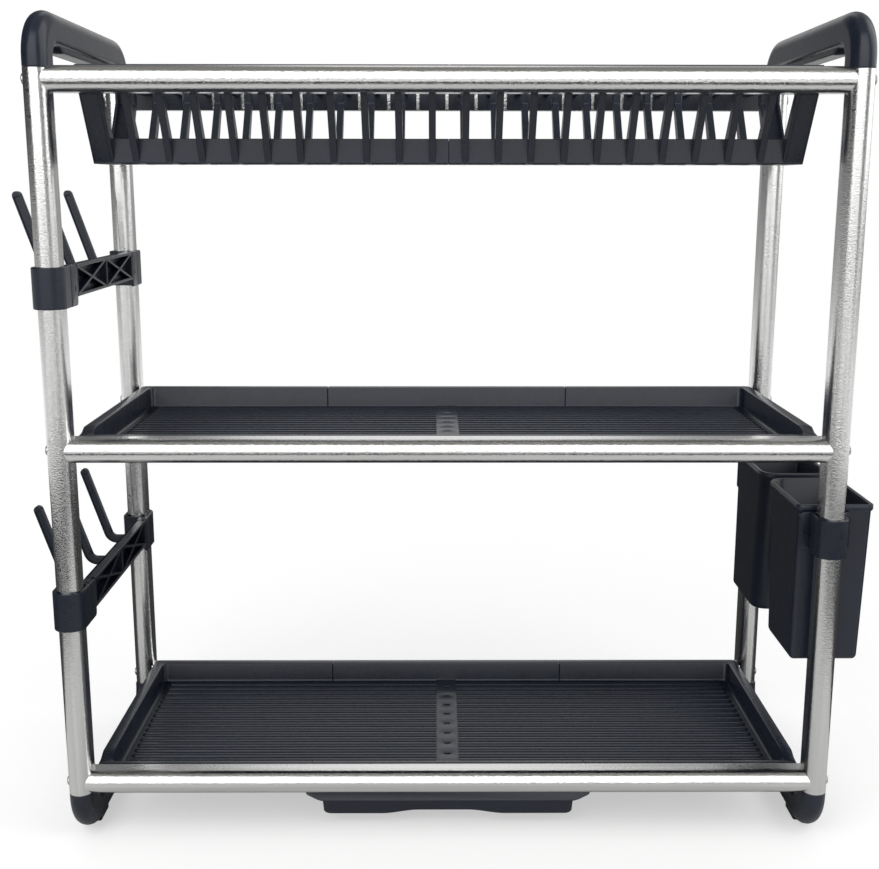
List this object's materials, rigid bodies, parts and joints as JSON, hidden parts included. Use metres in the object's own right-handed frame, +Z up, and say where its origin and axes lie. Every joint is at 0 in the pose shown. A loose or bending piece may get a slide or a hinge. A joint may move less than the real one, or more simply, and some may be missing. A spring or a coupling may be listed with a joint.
{
  "type": "dish drainer",
  "caption": "Tall steel-tube dish drainer with a slotted plate rack, ribbed drip trays, board holders, cutlery baskets and a slide-out drip drawer.",
  "frame": {"origin": "on the floor under the middle of the frame", "axes": "+X to the right side with the baskets, +Y to the back, +Z up"},
  "size_m": [0.714, 0.2716, 0.687],
  "materials": {
    "steel_tube": "fine grained stainless steel",
    "screw_steel": "plain bright steel",
    "slate_plastic": "semi-matt moulded plastic",
    "slate_plastic_soft": "semi-matt moulded plastic, a shade lighter"
  },
  "bodies": {
    "frame": {"front_left_post": "steel_tube", "front_right_post": "steel_tube", "rear_left_post": "steel_tube", "rear_right_post": "steel_tube", "left_handle": "slate_plastic", "right_handle": "slate_plastic", "left_foot": "slate_plastic", "right_foot": "slate_plastic", "bottom_front_rail": "steel_tube", "bottom_rear_rail": "steel_tube", "mid_front_rail": "steel_tube", "mid_rear_rail": "steel_tube", "top_front_rail": "steel_tube", "top_rear_rail": "steel_tube", "bottom_front_left_plug": "slate_plastic", "bottom_front_right_plug": "slate_plastic", "bottom_rear_left_plug": "slate_plastic", "bottom_rear_right_plug": "slate_plastic", "mid_front_left_plug": "slate_plastic", "mid_front_right_plug": "slate_plastic", "mid_rear_left_plug": "slate_plastic", "mid_rear_right_plug": "slate_plastic", "top_front_left_plug": "slate_plastic", "top_front_right_plug": "slate_plastic", "top_rear_left_plug": "slate_plastic", "top_rear_right_plug": "slate_plastic", "bottom_front_left_screw": "screw_steel", "bottom_front_right_screw": "screw_steel", "bottom_rear_left_screw": "screw_steel", "bottom_rear_right_screw": "screw_steel", "mid_front_left_screw": "screw_steel", "mid_front_right_screw": "screw_steel", "mid_rear_left_screw": "screw_steel", "mid_rear_right_screw": "screw_steel", "top_front_left_screw": "screw_steel", "top_front_right_screw": "screw_steel", "top_rear_left_screw": "screw_steel", "top_rear_right_screw": "screw_steel", "bottom_tray": "slate_plastic"},
    "dish_rack": {"dish_rack_left_front": "slate_plastic", "dish_rack_left_rear": "slate_plastic", "dish_rack_left_deck": "slate_plastic", "dish_rack_left_floor": "slate_plastic", "dish_rack_right_front": "slate_plastic", "dish_rack_right_rear": "slate_plastic", "dish_rack_right_deck": "slate_plastic", "dish_rack_right_floor": "slate_plastic"},
    "shelf_tray": {"mid_tray": "slate_plastic"},
    "drawer": {"drip_drawer": "slate_plastic_soft"},
    "upper_holder": {"upper_holder_bar": "slate_plastic", "upper_holder_front_clip": "slate_plastic", "upper_holder_rear_clip": "slate_plastic"},
    "lower_holder": {"lower_holder_bar": "slate_plastic", "lower_holder_front_clip": "slate_plastic", "lower_holder_rear_clip": "slate_plastic"},
    "front_cup": {"front_basket": "slate_plastic_soft", "front_basket_clip": "slate_plastic"},
    "rear_cup": {"rear_basket": "slate_plastic_soft", "rear_basket_clip": "slate_plastic"}
  },
  "joints": [
    {"name": "drawer_slide", "type": "slide", "parent": "frame", "child": "drawer", "axis": [0, -1, 0], "range_m": [0, 0.16]},
    {"name": "dish_rack_lift", "type": "slide", "parent": "frame", "child": "dish_rack", "axis": [0, 0, 1], "range_m": [0, 0.05]},
    {"name": "shelf_tray_lift", "type": "slide", "parent": "frame", "child": "shelf_tray", "axis": [0, 0, 1], "range_m": [0, 0.03]},
    {"name": "upper_holder_slide", "type": "slide", "parent": "frame", "child": "upper_holder", "axis": [0, 0, 1], "range_m": [-0.065, 0.125]},
    {"name": "lower_holder_slide", "type": "slide", "parent": "frame", "child": "lower_holder", "axis": [0, 0, 1], "range_m": [-0.12, 0.1]},
    {"name": "front_cup_slide", "type": "slide", "parent": "frame", "child": "front_cup", "axis": [0, 0, 1], "range_m": [-0.08, 0.03]},
    {"name": "rear_cup_slide", "type": "slide", "parent": "frame", "child": "rear_cup", "axis": [0, 0, 1], "range_m": [-0.08, 0.03]}
  ]
}
